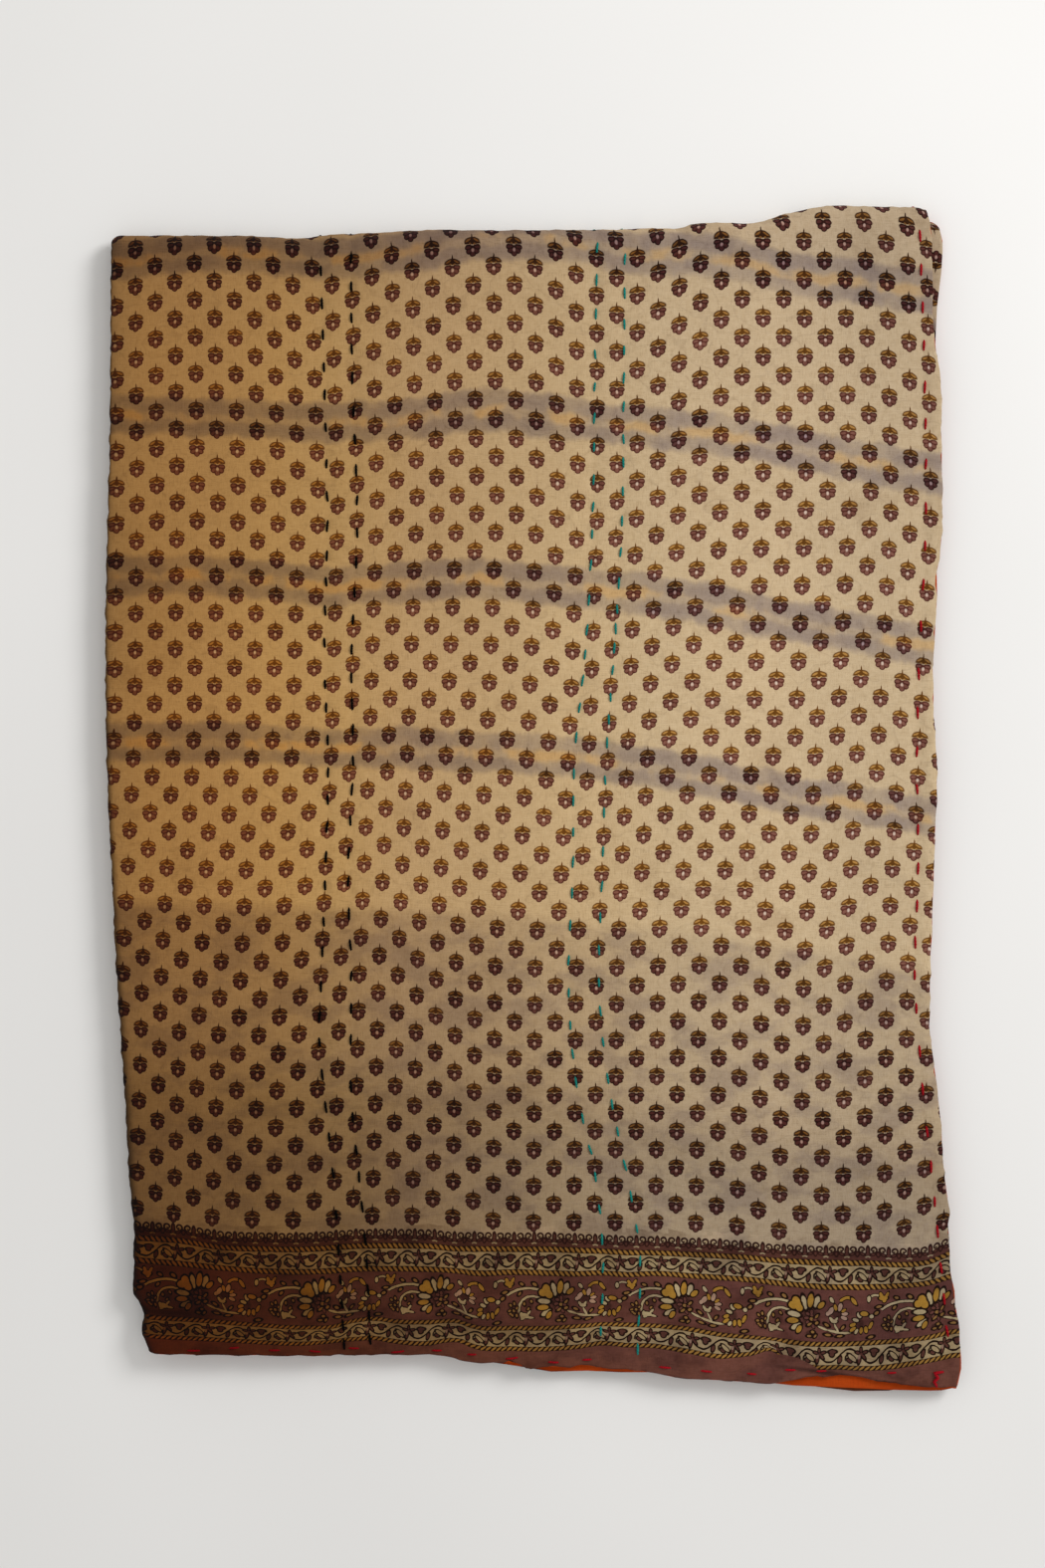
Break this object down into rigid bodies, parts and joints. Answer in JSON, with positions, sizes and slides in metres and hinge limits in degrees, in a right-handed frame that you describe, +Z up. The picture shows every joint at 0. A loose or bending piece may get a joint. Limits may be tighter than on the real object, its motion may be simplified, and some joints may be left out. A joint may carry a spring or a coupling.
{
  "type": "kantha quilt",
  "caption": "Light cotton quilt with a printed face, a plain contrasting backing and running-stitch quilting, folded flat, for use as a throw, bedcover or blanket.",
  "frame": {"origin": "middle of the box around the folded quilt, on the surface that it lies on", "axes": "+Z up, +Y from the free bottom edge to the top fold, +X from the side fold to the free right edge"},
  "size_m": [0.6586, 0.9184, 0.0217],
  "materials": {
    "printed_cotton": "soft matt cotton, beige with small brown flower motifs and a purple-brown border",
    "orange_cotton": "soft matt cotton, plain orange",
    "black_thread": "matt cotton thread",
    "teal_thread": "matt cotton thread",
    "red_thread": "matt cotton thread"
  },
  "bodies": {
    "root": {"face_cloth": "printed_cotton", "back_cloth": "orange_cotton"}
  },
  "joints": []
}
